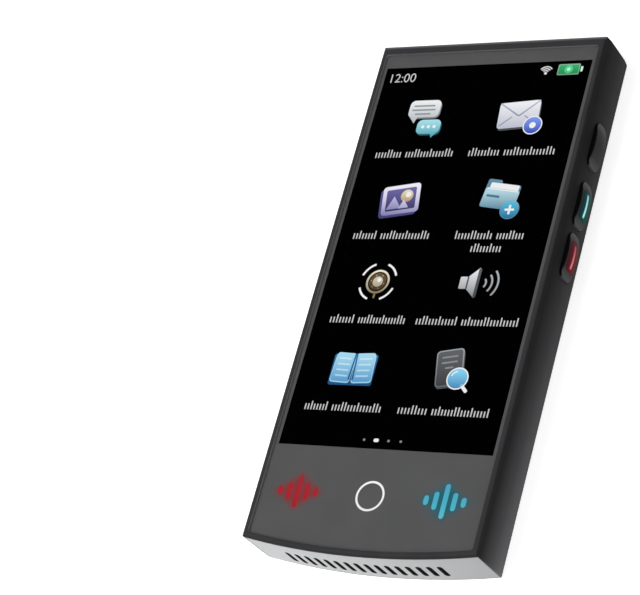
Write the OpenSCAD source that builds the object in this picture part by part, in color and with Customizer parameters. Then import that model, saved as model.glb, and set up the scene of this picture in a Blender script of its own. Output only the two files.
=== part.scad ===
// Handheld translator with a touch screen, a slotted end cap and three side keys, in millimetres.
// It lies on its back on z = 0: +Z comes out of the screen and +Y points at the top end.
// A dark moulded frame carries everything. Glass and display drop in from the front, and the boards,
// the battery and the speaker go in from the back, under a snap-on cover.

/* [Body] */
// Width of the body at its front and back edges
body_w = 58; // [57:0.5:62]
// Length of the body at its corners
body_len = 125.6; // [123:0.2:134]
// Thickness of the body, from the back to the front rim
body_t = 12.8; // [12.6:0.1:14]
// How far the bottom end bows out beyond its corners
end_bow = 2.3; // [1.6:0.1:3]
// How far the side walls swell at mid-thickness
side_crown = 0.4; // [0.2:0.05:0.6]
// How far the top end swells at mid-thickness
top_crown = 0.3; // [0.15:0.05:0.45]
// Thickness of the side and top walls at their edges
wall = 1.9; // [1.7:0.05:2.2]
// Least thickness of the bottom wall behind the end cap
end_wall = 1.2; // [1:0.1:1.8]
// Radius of the round along the front rim
rim_round = 0.6; // [0.3:0.05:0.7]
// Chamfer round the back edge
back_chamfer = 0.3; // [0.2:0.05:0.4]
// Radius of the four upright corners
corner_r = 0.6; // [0.4:0.1:0.9]

/* [Front glass] */
// Width of the rim beside the glass
rim_side = 1.2; // [1.1:0.05:1.6]
// Width of the rim above the glass
rim_top = 2.3; // [1.8:0.1:3]
// Width of the rim below the glass, across the arc
rim_bottom = 1.2; // [1:0.1:1.5]
// Thickness of the cover glass
glass_t = 0.5; // [0.5:0.05:0.9]
// How far the glass lies below the rim
glass_drop = 0.03; // [0.03:0.01:0.2]
// Radius of the glass corners
glass_corner_r = 0.8; // [0.5:0.1:1.5]
// Thickness of the printed border film under the glass, with the glue over it
film_t = 0.1; // [0.08:0.01:0.2]
// Thickness of that clear glue, whose room is left empty
glue_t = 0.02; // [0.01:0.01:0.03]
// From the side of the body to the display window
window_side = 2.2; // [2.1:0.05:3]
// From the top end to the display window
window_top = 5.85; // [5.8:0.05:8]
// From the bottom corners to the display window
window_bottom = 22.3; // [21.4:0.1:26]

/* [Touch keys] */
// From the bottom corners to the middle of the touch keys
touch_key_y = 11.4; // [10:0.05:12.5]
// Radius of the ring key, at the middle of its line
ring_r = 3.25; // [2.5:0.05:4]
// Width of the ring's line
ring_line = 0.52; // [0.3:0.02:0.8]
// From the middle to the centre of each sound wave key
wave_x = 18.25; // [15:0.25:19]
// Width of a sound wave bar
wave_bar_w = 1.2; // [0.6:0.05:1.4]
// Spacing of the sound wave bars
wave_pitch = 2.25; // [1.8:0.05:2.4]
// Height of the middle bar of a sound wave
wave_h = 7.9; // [6:0.1:9]

/* [Display] */
// Border of the panel beside the window
panel_side = 0.2; // [0.1:0.05:0.25]
// Border of the panel above and below the window
panel_end = 0.8; // [0.4:0.1:1]
// Thickness of the display panel
panel_t = 1; // [0.8:0.1:1.2]
// Thickness of the backlight under the panel
backlight_t = 1; // [0.8:0.1:1.2]
// Width of the display's flat cable
display_flex_w = 14; // [8:1:18]

/* [End cap] */
// Thickness of the end cap
cap_t = 1.6; // [1.5:0.1:2]
// Skin of the frame left beside the end cap
cap_skin = 0.2; // [0.15:0.05:0.5]
// Lip of the frame left behind the end cap, at the back edge
cap_lip = 0.5; // [0.45:0.05:0.7]
// Band of the frame left in front of the end cap
cap_band = 1.23; // [1.1:0.05:1.6]
// Number of sound slots
slot_count = 16; // [12:1:18]
// Spacing of the sound slots
slot_pitch = 2.53; // [1.8:0.05:2.55]
// Width of a sound slot
slot_w = 1.05; // [0.6:0.05:1.2]
// Length of a sound slot, through the thickness of the body
slot_len = 5; // [3.6:0.1:5.2]
// Height of the slots' middle above the back
slot_z = 5; // [4.8:0.05:5.1]
// How far the row of slots is set to the left of the middle
slot_shift = 1.05; // [0:0.05:1.2]
// Slots that lead to the speaker, from the left
speaker_slots = 12; // [9:1:12]
// Thickness of the dust mesh behind the slots
mesh_t = 0.25; // [0.2:0.05:0.4]
// From the side of the body to each end cap screw
cap_screw_side = 4.4; // [3.8:0.1:4.8]

/* [Side keys] */
// Length of a key
key_len = 11; // [9:0.5:11.5]
// Width of a key
key_w = 5; // [4:0.1:5.2]
// Radius of a key's corners
key_corner_r = 1.7; // [1.2:0.1:1.9]
// Height of the keys' middle above the back
key_z = 5.9; // [5.7:0.1:6.4]
// How far a key stands out of the side, at its highest
key_proud = 1.3; // [0.8:0.1:1.6]
// Rise of a key's face from its ends to its middle
key_crown = 0.8; // [0.5:0.1:1]
// Rise of a key's face from its edges to its middle line
key_swell = 0.3; // [0.15:0.05:0.5]
// From the top end to the middle of the power key
power_key_y = 25.2; // [22:0.2:28]
// From the power key to the upper talk key
teal_key_step = 15; // [14:0.2:17]
// From the upper talk key to the lower talk key
red_key_step = 12.8; // [12.8:0.2:15]
// How far a key goes in
key_travel = 0.3; // [0.2:0.05:0.4]
// Running gap round a key
key_gap = 0.1; // [0.06:0.01:0.2]
// How far a key's inner flange reaches beyond its face
flange_lip = 0.6; // [0.4:0.1:0.8]
// Thickness of a key's inner flange
flange_t = 0.6; // [0.4:0.1:0.8]
// Length of the light strip in a talk key
strip_len = 7.2; // [5:0.2:8]
// Width of the light strip in a talk key
strip_w = 4; // [3:0.1:4.2]
// Radius of the light strip's corners
strip_corner_r = 1.3; // [0.8:0.1:1.4]
// Size of a switch, along the side and through the thickness of the body
switch_size = [4.8, 3.2]; // [2:0.1:5]
// Depth of a switch
switch_depth = 2; // [1.6:0.1:2.4]
// How far a switch plunger stands out of its switch
plunger_out = 0.95; // [0.7:0.05:1.2]
// How far a switch plunger reaches into its switch
plunger_in = 0.8; // [0.5:0.1:1]
// Size of a switch plunger, along the side and through the thickness of the body
plunger_size = [2, 1.2]; // [0.8:0.1:2.4]

/* [Back] */
// Thickness of the back cover
cover_t = 1.4; // [1.2:0.1:1.6]
// Lip of the frame round the back cover
cover_lip = 1.1; // [0.9:0.1:1.4]
// How far the back cover laps over the bottom wall
cover_lap = 0.6; // [0.4:0.1:0.9]
// Height of the cover's clip rails
clip_rail_h = 1.2; // [1:0.1:1.4]
// Thickness of the cover's clip rails
clip_rail_t = 0.8; // [0.6:0.1:1]
// Number of clips on each rail
clip_count = 4; // [3:1:6]
// Length of a clip
clip_len = 6; // [4:0.5:8]
// How far a clip catches in the frame
clip_catch = 0.4; // [0.3:0.05:0.5]
// Height of the cover's stiffening ribs
rib_h = 0.8; // [0.5:0.1:0.9]

/* [Camera] */
// From the middle to the camera, on the side of the keys
camera_x = 13.5; // [12.5:0.5:14.5]
// From the top end to the camera
camera_y = 13; // [12.5:0.25:14]
// Width of the square camera module
camera_w = 8.5; // [7.5:0.25:8.5]
// Radius of the lens barrel
barrel_r = 3.1; // [2.5:0.1:3.2]
// Radius of the camera's window
camera_window_r = 3.9; // [3.6:0.1:4.2]
// Radius of the ring round the window
camera_ring_r = 5; // [4.8:0.1:5.5]
// From the camera to the flash
flash_step = 10; // [9.5:0.25:10.5]
// Radius of the flash lens
flash_r = 1.9; // [1.5:0.1:2]

/* [Boards and battery] */
// Thickness of the frame's middle plate
plate_t = 0.9; // [0.7:0.1:1]
// Height of the board bosses
boss_h = 1; // [0.8:0.1:1.2]
// Radius of the board bosses
boss_r = 1.9; // [1.6:0.1:2.1]
// Thickness of the circuit boards
board_t = 0.8; // [0.6:0.1:1]
// From the battery to the main board
board_gap = 5.6; // [5:0.1:6.5]
// Width of the battery
battery_w = 46; // [40:1:47]
// Length of the battery
battery_len = 43; // [38:1:43]
// Thickness of the battery
battery_t = 6; // [4.5:0.1:6]
// Thickness of the battery's tape
tape_t = 0.2; // [0.1:0.05:0.3]
// Room below the battery for the speaker and the lower board
lower_room = 18; // [17.5:0.5:18.5]
// Thickness of the flat cables
flex_t = 0.15; // [0.1:0.05:0.2]
// Size of the processor's shield can, across and along the body
processor_can = [20, 22]; // [14:0.5:23]
// Size of the radio's shield can, across and along the body
radio_can = [16, 17]; // [12:0.5:18]
// Height of the shield cans
can_h = 1.6; // [1.4:0.1:2]
// Sheet thickness of the shield cans
can_t = 0.2; // [0.15:0.05:0.3]

/* [Sound] */
// Depth of the speaker box, from the bottom end inwards
speaker_depth = 14; // [11:0.5:14.5]
// Thickness of the speaker box
speaker_t = 5.2; // [4.8:0.1:5.4]
// Wall of the speaker box
speaker_wall = 0.8; // [0.6:0.1:1]
// Thickness of the speaker's foam gasket
gasket_t = 1; // [0.6:0.1:1.4]
// Radius of the microphone capsule
mic_r = 1.9; // [1.5:0.1:1.9]
// Wall of the microphone's rubber boot
boot_wall = 0.5; // [0.4:0.05:0.55]

/* [Charging port] */
// Width of the port's opening
port_w = 8.34; // [8.3:0.02:8.4]
// Height of the port's opening
port_h = 2.56; // [2.5:0.02:2.6]
// Sheet thickness of the port's shell
port_sheet = 0.3; // [0.2:0.05:0.35]
// Depth of the port's shell
port_depth = 7.3; // [6.5:0.1:7.8]
// How far the shell's mouth lies behind the top end
port_recess = 0.3; // [0.1:0.05:0.6]

/* [Fits and screws] */
// Gap round a piece that is glued, clipped or pressed into its seat
fit_gap = 0.05; // [0.03:0.01:0.08]
// Room left beside boards, cells and cans
slack = 0.3; // [0.2:0.05:0.4]
// Radius of the screws
screw_r = 0.7; // [0.5:0.05:0.8]
// Radius of the screw heads
screw_head_r = 1.3; // [1.1:0.1:1.4]
// Height of the screw heads
screw_head_h = 0.6; // [0.4:0.05:0.7]
// How far a screw bites into what it holds
screw_bite = 0.55; // [0.4:0.05:0.6]
// Radius and depth of the hexagon socket in a screw's head
socket_r = 0.56; // [0.5:0.02:0.6]
socket_depth = 0.36; // [0.3:0.02:0.4]

/* [Hidden] */
$fn = 72;
// Facets of the large shallow arcs
arc_fn = 360;
// Flats that make up the round of the front rim
rim_steps = 4;
// How far that round stands out past the faces it runs into, so that it crosses them cleanly
rim_crease = 0.01;
// Overshoot of a cut past the face it opens
over = 1;

// Heights, from the front down
glass_z1 = body_t - glass_drop;
glass_z0 = glass_z1 - glass_t;
film_z0 = glass_z0 - film_t;
panel_z0 = film_z0 - panel_t;
plate_z1 = panel_z0 - backlight_t;
plate_z0 = plate_z1 - plate_t;
board_z1 = plate_z0 - boss_h;
board_z0 = board_z1 - board_t;
battery_z1 = plate_z0 - tape_t;
battery_z0 = battery_z1 - battery_t;

// Ends and walls
y_top = body_len / 2;
y_bot = -body_len / 2;
in_x = body_w / 2 - wall;
in_top = y_top - wall;
in_bot = y_bot + cap_t + end_wall;

// Radius of an arc that rises by rise over a chord
function arc_radius(chord, rise) = (chord * chord / 4 + rise * rise) / (2 * rise);
end_r = arc_radius(body_w, end_bow);
end_cy = y_bot - end_bow + end_r;
side_r = arc_radius(body_t, side_crown);
top_r = arc_radius(body_t, top_crown);
top_cy = y_top + top_crown - top_r;
// Place of the bottom arc, drawn in by inset, at a distance x from the middle
function arc_y(x, inset) = end_cy - sqrt(pow(end_r - inset, 2) - x * x);

// Display, between its window's borders
window_x = body_w / 2 - window_side;
window_y1 = y_top - window_top;
window_y0 = y_bot + window_bottom;
panel_x = window_x + panel_side;
panel_y1 = window_y1 + panel_end;
panel_y0 = window_y0 - panel_end;
display_flex_room = 2.4;
touch_y = y_bot + touch_key_y;
touch_board_h = 15.8;
touch_board_t = 0.8;
touch_board_inset = 2.15;
guide_lap = 1;
touch_board_x = panel_x - touch_board_inset;
wave_heights = [0.28, 0.52, 1, 0.52, 0.28];

// Row of slots, from the left
slot_x0 = -slot_shift - (slot_count - 1) / 2 * slot_pitch;
slot_room = 0.45;
speaker_x0 = slot_x0 - slot_w / 2 - slot_room;
speaker_x1 = slot_x0 + (speaker_slots - 1) * slot_pitch + slot_w / 2 + slot_room;
mesh_x0 = speaker_x0 - slot_room;
mesh_x1 = slot_x0 + (slot_count - 1) * slot_pitch + slot_w / 2 + 2 * slot_room;
mesh_half = slot_len / 2 + slot_room;
mic_x = slot_x0 + (slot_count - 1.5) * slot_pitch;
cap_z1 = body_t - cap_band;
cap_screw_x = body_w / 2 - cap_screw_side;
cap_screw_z = body_t / 2;

// Side keys, from the outside in
power_y = y_top - power_key_y;
teal_y = power_y - teal_key_step;
red_y = teal_y - red_key_step;
key_face_x = body_w / 2 + side_crown + key_proud;
flange_x1 = in_x - fit_gap;
flange_x0 = flange_x1 - flange_t;
switch_x1 = flange_x0 - plunger_out;
switch_x0 = switch_x1 - switch_depth;
key_board_t = 0.6;
key_board_x0 = switch_x0 - key_board_t;
key_board_h = 5;
key_board_end = 6.4;
key_rail_t = 0.6;
key_rail_x0 = key_board_x0 - key_rail_t;
key_rail_drop = 0.4;
key_led_step = 3.6;
key_led_size = [0.6, 1.6, 0.8];
key_flex_y = (power_y + teal_y) / 2;
key_flex_w = 4;
key_flex_drop = 0.7;

// Boards and what they carry
board_x0 = -in_x + slack;
board_x1 = key_rail_x0 - slack;
board_y1 = in_top - slack;
lower_y0 = in_bot + 2 * slack;
battery_y0 = in_bot + lower_room;
battery_y1 = battery_y0 + battery_len;
battery_x0 = -in_x + 4 * slack;
board_y0 = battery_y1 + board_gap;
lower_y1 = battery_y0 - 2 * slack - flex_t;
screw_inset = 2.4;
board_screw_spots = [
    [board_x0 + screw_inset, board_y1 - screw_inset],
    [board_x1 - screw_inset, board_y1 - screw_inset],
    [board_x0 + screw_inset, board_y0 + screw_inset],
    [board_x1 - screw_inset, board_y0 + 3 * screw_inset],
    [-in_x + slack + screw_inset, lower_y1 - screw_inset],
    [in_x - slack - screw_inset, lower_y1 - screw_inset]
];
plug_size = [8, 2.6, 1.2];
battery_plug_inset = 11.9;
battery_plug_x = battery_x0 + battery_plug_inset;
lower_plug_x = 14;
lower_flex_w = 7;
lead_w = 6;
can_inset = 2.8;
can_top = 14;
radio_can_drop = 8;
can_gap = 2;
processor_can_x = board_x0 + can_inset;
processor_can_y = y_top - can_top - processor_can.y;
radio_can_x = processor_can_x + processor_can.x + can_gap;
radio_can_y = y_top - can_top - radio_can_drop - radio_can.y;
chip_inset = 1;
processor_size = [13, 12, 1];
memory_size = [11.5, 7, 0.9];
radio_size = [9, 9, 0.9];
antenna_t = 0.2;

// Camera, flash and port
cam_y = y_top - camera_y;
flash_x = camera_x - flash_step;
camera_body_h = 5;
camera_recess = 0.1;
camera_glass_t = 0.6;
camera_seat_t = 0.5;
flash_flange = 0.6;
flash_led_size = [1.8, 1.8, 0.7];
port_z = board_z0 - port_h / 2 - port_sheet;
port_y1 = y_top - port_recess;
tongue_size = [6.7, 4.6, 0.7];
top_mic_x = -12;
top_mic_size = [3.5, 2.7, 1];
mic_hole_r = 0.5;

// Speaker
speaker_y0 = in_bot + gasket_t;
speaker_z0 = board_z0 - slack - speaker_t;
speaker_z = speaker_z0 + speaker_t / 2;
speaker_mouth_h = speaker_t - 2 * speaker_wall;
driver_size = [22, 10, 2.4];
mic_z = board_z0 - fit_gap - boot_wall - mic_r;
mic_len = 1.5;
boot_floor = 0.8;

// A box from its low corner to its high corner
module span(low, high) {
    translate(low) cube(high - low);
}

// A slot shape: straight sides and half-round ends, lying along X
module stadium(len, wid) {
    square([len - wid, wid], center = true);
    for (s = [-1, 1]) translate([s * (len - wid) / 2, 0]) circle(d = wid);
}

// A rectangle with round corners, lying along X
module rounded(len, wid, r) {
    square([len, wid - 2 * r], center = true);
    square([len - 2 * r, wid], center = true);
    for (x = [-1, 1], y = [-1, 1]) translate([x * (len / 2 - r), y * (wid / 2 - r)]) circle(r = r);
}

// What rounding takes off the corner at (0, 0), for a body that lies below and to the left of it
module corner_waste(r) {
    translate([-r, -r]) polygon(concat(
        [for (a = [0:30:90]) r * [cos(a), sin(a)]],
        [[0, 2 * r], [2 * r, 2 * r], [2 * r, 0]]
    ));
}

// Corner waste at all four corners of a plan that reaches x, y1 and the bottom arc drawn in by inset
module plan_corners(x, y1, inset, r) {
    for (m = [0, 1]) mirror([m, 0]) {
        translate([x, y1]) corner_waste(r);
        translate([x, arc_y(x - r, inset)]) mirror([0, 1]) corner_waste(r);
    }
}

// Plan of the body, with its sides, top and bottom arc drawn in
module plan(side, top, bottom, r) {
    difference() {
        intersection() {
            translate([side - body_w / 2, y_bot - end_bow])
                square([body_w - 2 * side, body_len + end_bow - top]);
            translate([0, end_cy]) circle(r = end_r - bottom, $fn = arc_fn);
        }
        plan_corners(body_w / 2 - side + fit_gap / 2, y_top - top + fit_gap / 2, bottom - fit_gap / 2, r);
    }
}

// Points of a round of radius r about (0, 0), from the angle a0 up to 90 degrees
function round_points(r, a0) =
    [for (i = [0:rim_steps]) let (a = a0 + i * (90 - a0) / rim_steps) r * [cos(a), sin(a)]];

// Edge breaks of a wall that swells by crown between (0, 0) and (0, body_t), drawn square to it: a
// round at the front that runs into the swelling face, and a chamfer at the back
module edge_breaks(crown) {
    reach = arc_radius(body_t, crown) - rim_round;
    slope = asin((body_t / 2 - rim_round) / reach);
    translate([crown - rim_round - reach * (1 - cos(slope)) + rim_crease, body_t - rim_round + rim_crease])
        polygon(concat(round_points(rim_round, slope), 2 * rim_round * [[0, 1], [1, 1], [1, sin(slope)]]));
    rotate(45) square(back_chamfer * sqrt(2), center = true);
}

// Outside of the closed body: swelling sides and top, and an upright arc at the bottom
module body_form() {
    difference() {
        intersection() {
            rotate([90, 0, 0]) linear_extrude(2 * body_len, center = true) difference() {
                intersection() {
                    translate([-body_w, 0]) square([2 * body_w, body_t]);
                    intersection_for (s = [-1, 1])
                        translate([s * (body_w / 2 + side_crown - side_r), body_t / 2])
                            circle(r = side_r, $fn = arc_fn);
                }
                for (m = [0, 1]) mirror([m, 0]) translate([body_w / 2, 0]) edge_breaks(side_crown);
            }
            rotate([90, 0, 90]) linear_extrude(2 * body_w, center = true) difference() {
                intersection() {
                    translate([-body_len, 0]) square([2 * body_len, body_t]);
                    union() {
                        translate([top_cy, body_t / 2]) circle(r = top_r, $fn = arc_fn);
                        translate([-body_len - over, -over])
                            square([body_len + over + top_cy, body_t + 2 * over]);
                    }
                }
                translate([y_top, 0]) edge_breaks(top_crown);
            }
            translate([0, end_cy, 0]) rotate_extrude($fn = arc_fn) polygon(concat(
                [[0, 0], [end_r - back_chamfer, 0], [end_r, back_chamfer]],
                [for (p = round_points(rim_round, 0)) [end_r - rim_round, body_t - rim_round] + p],
                [[0, body_t]]
            ));
        }
        translate([0, 0, -over]) linear_extrude(body_t + 2 * over)
            plan_corners(body_w / 2 + side_crown + fit_gap, y_top + top_crown + fit_gap, -fit_gap, corner_r);
    }
}

// The room of the end cap outside the bottom wall, with a gap round the cap
module cap_room(gap) {
    difference() {
        span([cap_skin - gap - body_w / 2, y_bot - end_bow - over, cap_lip - gap],
             [body_w / 2 - cap_skin + gap, y_bot + 2 * cap_t, cap_z1 + gap]);
        translate([0, end_cy, -over]) cylinder(r = end_r - cap_t, h = body_t + 2 * over, $fn = arc_fn);
    }
}

// The room of the dust mesh, sunk into the bottom wall behind the slots
module mesh_room(gap) {
    intersection() {
        span([mesh_x0 - gap, y_bot - end_bow - over, slot_z - mesh_half - gap],
             [mesh_x1 + gap, in_bot + over, slot_z + mesh_half + gap]);
        translate([0, end_cy, 0]) difference() {
            cylinder(r = end_r - cap_t, h = body_t, $fn = arc_fn);
            translate([0, 0, -over])
                cylinder(r = end_r - cap_t - mesh_t, h = body_t + 2 * over, $fn = arc_fn);
        }
    }
}

// Something drawn facing +X: its own X becomes Y and its own Y becomes Z
module facing_side(x, y, depth) {
    translate([x, y, key_z]) rotate([90, 0, 90]) linear_extrude(depth) children();
}

// A hole or a post drawn from the plane y towards the bottom end
module facing_end(x, y, z, depth) {
    translate([x, y, z]) rotate([90, 0, 0]) linear_extrude(depth) children();
}

// A clip: a wedge on the outside of a clip rail, on the side of the keys
module clip(y) {
    translate([in_x - fit_gap, y + clip_len / 2, cover_t + clip_rail_h]) rotate([90, 0, 0])
        linear_extrude(clip_len) polygon([[0, 0], [clip_catch, -clip_catch], [0, -2 * clip_catch]]);
}

// Places of the clips along a rail
clip_step = (body_len - 4 * clip_len) / clip_count;
function clip_y(i) = (i - (clip_count - 1) / 2) * clip_step;

module main_frame() {
    color("#2d2d2f") difference() {
        union() {
            difference() {
                body_form();
                // Seat of the glass and its film
                translate([0, 0, film_z0]) linear_extrude(body_t)
                    plan(rim_side - fit_gap, rim_top - fit_gap, rim_bottom - fit_gap, glass_corner_r);
                // Pocket of the display and the touch keys
                span([-panel_x - fit_gap, in_bot, plate_z1],
                     [panel_x + fit_gap, panel_y1 + display_flex_room, film_z0 + over]);
                // Room of the boards, the battery and the speaker
                span([-in_x, in_bot, -over], [in_x, in_top, plate_z0]);
                // Seat of the back cover
                span([cover_lip - body_w / 2, in_bot - cover_lap, -over],
                     [body_w / 2 - cover_lip, y_top - cover_lip, cover_t]);
            }
            // Rail that backs the side key board
            span([key_rail_x0, red_y - key_board_end, key_z - key_board_h / 2 - key_rail_drop],
                 [key_board_x0, power_y + key_board_end, plate_z0]);
            // Bosses of both boards
            for (p = board_screw_spots) translate([p.x, p.y, board_z1]) cylinder(r = boss_r, h = boss_h);
        }
        cap_room(fit_gap);
        mesh_room(fit_gap);
        // Sound ways of the speaker and the microphone, through the bottom wall
        span([speaker_x0 + speaker_wall, y_bot - end_bow, speaker_z - speaker_mouth_h / 2],
             [speaker_x1 - speaker_wall, in_bot + over, speaker_z + speaker_mouth_h / 2]);
        facing_end(mic_x, in_bot + over, mic_z, cap_t + 2 * end_wall) circle(r = mic_r - boot_wall);
        // Screw holes behind the end cap
        for (s = [-1, 1]) facing_end(s * cap_screw_x, in_bot + over, cap_screw_z, 2 * over + 3 * end_wall)
            circle(r = screw_r + fit_gap);
        // Side key holes
        for (y = [power_y, teal_y, red_y]) facing_side(in_x - over, y, wall + side_crown + 2 * over)
            rounded(key_len + 2 * key_gap, key_w + 2 * key_gap, key_corner_r + key_gap);
        // Charging port and the microphone's hole in the top end
        facing_end(0, y_top + over, port_z, wall + 2 * over)
            stadium(port_w + 2 * port_sheet + 2 * fit_gap, port_h + 2 * port_sheet + 2 * fit_gap);
        facing_end(top_mic_x, y_top + over, board_z0 - top_mic_size.z / 2, wall + 2 * over)
            circle(r = mic_hole_r);
        // Slot for the display's cable
        span([-display_flex_w / 2 - slack, panel_y1, plate_z0 - over],
             [display_flex_w / 2 + slack, panel_y1 + display_flex_room, plate_z1 + over]);
        // Screw holes of the bosses
        for (p = board_screw_spots) translate([p.x, p.y, board_z1 - over])
            cylinder(r = screw_r + fit_gap, h = over + boss_h + screw_bite);
        // Catches of the cover's clips
        for (m = [0, 1]) mirror([m, 0, 0]) for (i = [0:clip_count - 1])
            translate([0, clip_y(i), cover_t + clip_rail_h])
                span([in_x - over, -clip_len / 2 - fit_gap, -2 * clip_catch - fit_gap],
                     [in_x + clip_catch + fit_gap, clip_len / 2 + fit_gap, fit_gap]);
    }
}

module back_cover() {
    rib_x = battery_w / 2 - 4 * slack;
    color("#262628") difference() {
        union() {
            span([cover_lip + fit_gap - body_w / 2, in_bot - cover_lap + fit_gap, 0],
                 [body_w / 2 - cover_lip - fit_gap, y_top - cover_lip - fit_gap, cover_t]);
            // Clip rails along both sides
            for (m = [0, 1]) mirror([m, 0, 0]) {
                span([in_x - fit_gap - clip_rail_t, clip_y(0) - clip_len, cover_t - over],
                     [in_x - fit_gap, clip_y(clip_count - 1) + clip_len, cover_t + clip_rail_h]);
                for (i = [0:clip_count - 1]) clip(clip_y(i));
            }
            // Stiffening ribs under the battery
            for (y = [battery_y0 + clip_len:clip_len:battery_y1 - clip_len])
                span([-rib_x, y - clip_rail_t / 2, cover_t - over / 2],
                     [rib_x, y + clip_rail_t / 2, cover_t + rib_h]);
        }
        // Camera window, ring and sight hole
        translate([camera_x, cam_y, -over]) {
            cylinder(r = camera_ring_r + fit_gap, h = over + cover_t - camera_seat_t);
            cylinder(r = barrel_r + 2 * fit_gap, h = cover_t + 2 * over);
        }
        translate([flash_x, cam_y, -over]) cylinder(r = flash_r + fit_gap, h = cover_t + 2 * over);
    }
}

module bottom_cap() {
    color("#c9cacb") difference() {
        intersection() {
            body_form();
            cap_room(0);
        }
        for (i = [0:slot_count - 1])
            facing_end(slot_x0 + i * slot_pitch, in_bot, slot_z, 2 * end_bow + 4 * cap_t)
                rotate(90) stadium(slot_len, slot_w);
        for (s = [-1, 1]) facing_end(s * cap_screw_x, in_bot, cap_screw_z, cap_screw_depth + fit_gap)
            circle(r = screw_r + fit_gap);
    }
}

module slot_mesh() {
    color("#101010") mesh_room(0);
}

// A screw that points along +Z from its head's underside at z = 0, with a hexagon socket
module screw(len) {
    difference() {
        union() {
            cylinder(r = screw_r, h = len);
            translate([0, 0, -screw_head_h]) cylinder(r = screw_head_r, h = screw_head_h);
        }
        translate([0, 0, -screw_head_h - over]) cylinder(r = socket_r, h = over + socket_depth, $fn = 6);
    }
}

// From the inside of the bottom wall to the tip of an end cap screw
cap_screw_depth = in_bot - arc_y(cap_screw_x, cap_t) + 2 * screw_bite;

module cap_screws() {
    color("#8b8d90") for (s = [-1, 1])
        translate([s * cap_screw_x, in_bot, cap_screw_z]) rotate([90, 0, 0]) screw(cap_screw_depth);
}

module cover_glass() {
    color("#1c2024", 0.35) translate([0, 0, glass_z0]) linear_extrude(glass_t)
        plan(rim_side, rim_top, rim_bottom, glass_corner_r);
}

// The five bars of a sound wave key
module sound_wave() {
    for (i = [0:4]) translate([(i - 2) * wave_pitch, 0]) rotate(90)
        stadium(wave_h * wave_heights[i], wave_bar_w);
}

module border_film() {
    color("#59595b") translate([0, 0, film_z0]) linear_extrude(film_t - glue_t) difference() {
        plan(rim_side, rim_top, rim_bottom, glass_corner_r);
        translate([-window_x, window_y0]) square([2 * window_x, window_y1 - window_y0]);
        translate([0, touch_y]) difference() {
            circle(r = ring_r + ring_line / 2);
            circle(r = ring_r - ring_line / 2);
        }
        for (s = [-1, 1]) translate([s * wave_x, touch_y]) sound_wave();
    }
}

module display_panel() {
    color("#050506") span([-panel_x, panel_y0, panel_z0], [panel_x, panel_y1, film_z0]);
}

module display_backlight() {
    color("#d8d8d4") span([-panel_x, panel_y0, plate_z1], [panel_x, panel_y1, panel_z0]);
}

// A flat cable, drawn in the YZ plane and as wide as given, centred on x
module flat_cable(x, wid) {
    translate([x - wid / 2, 0, 0]) rotate([90, 0, 90]) linear_extrude(wid) children();
}

module display_flex() {
    bend_y = panel_y1 + display_flex_room - slack;
    plug_y = panel_y1 - 4 * plug_size.y;
    color("#b06a1f") flat_cable(0, display_flex_w) polygon([
        [panel_y1, panel_z0], [bend_y, panel_z0], [bend_y, board_z1], [plug_y, board_z1],
        [plug_y, board_z1 + flex_t], [bend_y - flex_t, board_z1 + flex_t],
        [bend_y - flex_t, panel_z0 - flex_t], [panel_y1, panel_z0 - flex_t]
    ]);
}

module touch_key_board() {
    color("#12402c") span([-touch_board_x, touch_y - touch_board_h / 2, plate_z1],
                          [touch_board_x, touch_y + touch_board_h / 2, plate_z1 + touch_board_t]);
}

// Places of the three touch keys
touch_spots = [-wave_x, 0, wave_x];
touch_led = [1.6, 0.8, 0.4];

module touch_key_leds() {
    color("#e8e6da") for (x = touch_spots)
        translate([x - touch_led.x / 2, touch_y - touch_led.y / 2, plate_z1 + touch_board_t]) cube(touch_led);
}

module key_light_guide() {
    guide_z0 = plate_z1 + touch_board_t;
    guide_half = wave_h / 2 + guide_lap;
    color("#e9edf0") difference() {
        span([-touch_board_x, touch_y - guide_half, guide_z0],
             [touch_board_x, touch_y + guide_half, film_z0]);
        for (x = touch_spots) translate([x, touch_y, guide_z0 + (touch_led.z + fit_gap - over) / 2])
            cube([touch_led.x + 2 * fit_gap, touch_led.y + 2 * fit_gap, touch_led.z + fit_gap + over],
                 center = true);
    }
}

// A solid whose outer face is a key's crowned face: arched along the key and swelling across it
module key_crown_form(y) {
    len_r = arc_radius(key_len, key_crown);
    wid_r = arc_radius(key_w, key_swell);
    translate([key_face_x - len_r, y, key_z]) rotate_extrude($fn = 180) intersection() {
        translate([len_r - wid_r, 0]) circle(r = wid_r);
        translate([0, -key_w]) square([len_r + over, 2 * key_w]);
    }
}

// A key, with an inner flange that keeps it in the wall
module key_cap(y) {
    intersection() {
        union() {
            facing_side(flange_x0, y, key_face_x - flange_x0 + over) rounded(key_len, key_w, key_corner_r);
            facing_side(flange_x0, y, flange_t)
                rounded(key_len + 2 * flange_lip, key_w + 2 * flange_lip, key_corner_r + flange_lip);
        }
        key_crown_form(y);
    }
}

module lit_key_cap(y) {
    difference() {
        key_cap(y);
        facing_side(flange_x0 - over, y, key_face_x)
            rounded(strip_len + 2 * fit_gap, strip_w + 2 * fit_gap, strip_corner_r + fit_gap);
    }
}

module light_strip(y) {
    intersection() {
        facing_side(flange_x0, y, key_face_x) rounded(strip_len, strip_w, strip_corner_r);
        key_crown_form(y);
    }
}

module power_button() {
    color("#3c3c3e") key_cap(power_y);
}

module teal_talk_button() {
    color("#3c3c3e") lit_key_cap(teal_y);
}

module red_talk_button() {
    color("#3c3c3e") lit_key_cap(red_y);
}

module teal_light_strip() {
    color("#1a8f98") light_strip(teal_y);
}

module red_light_strip() {
    color("#a8283a") light_strip(red_y);
}

// The moving part of a switch, from inside its body to the back of its key
module plunger(y) {
    color("#e4e1d6") facing_side(switch_x1 - plunger_in, y, plunger_out + plunger_in)
        square(plunger_size, center = true);
}

module power_plunger() {
    plunger(power_y);
}

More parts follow.
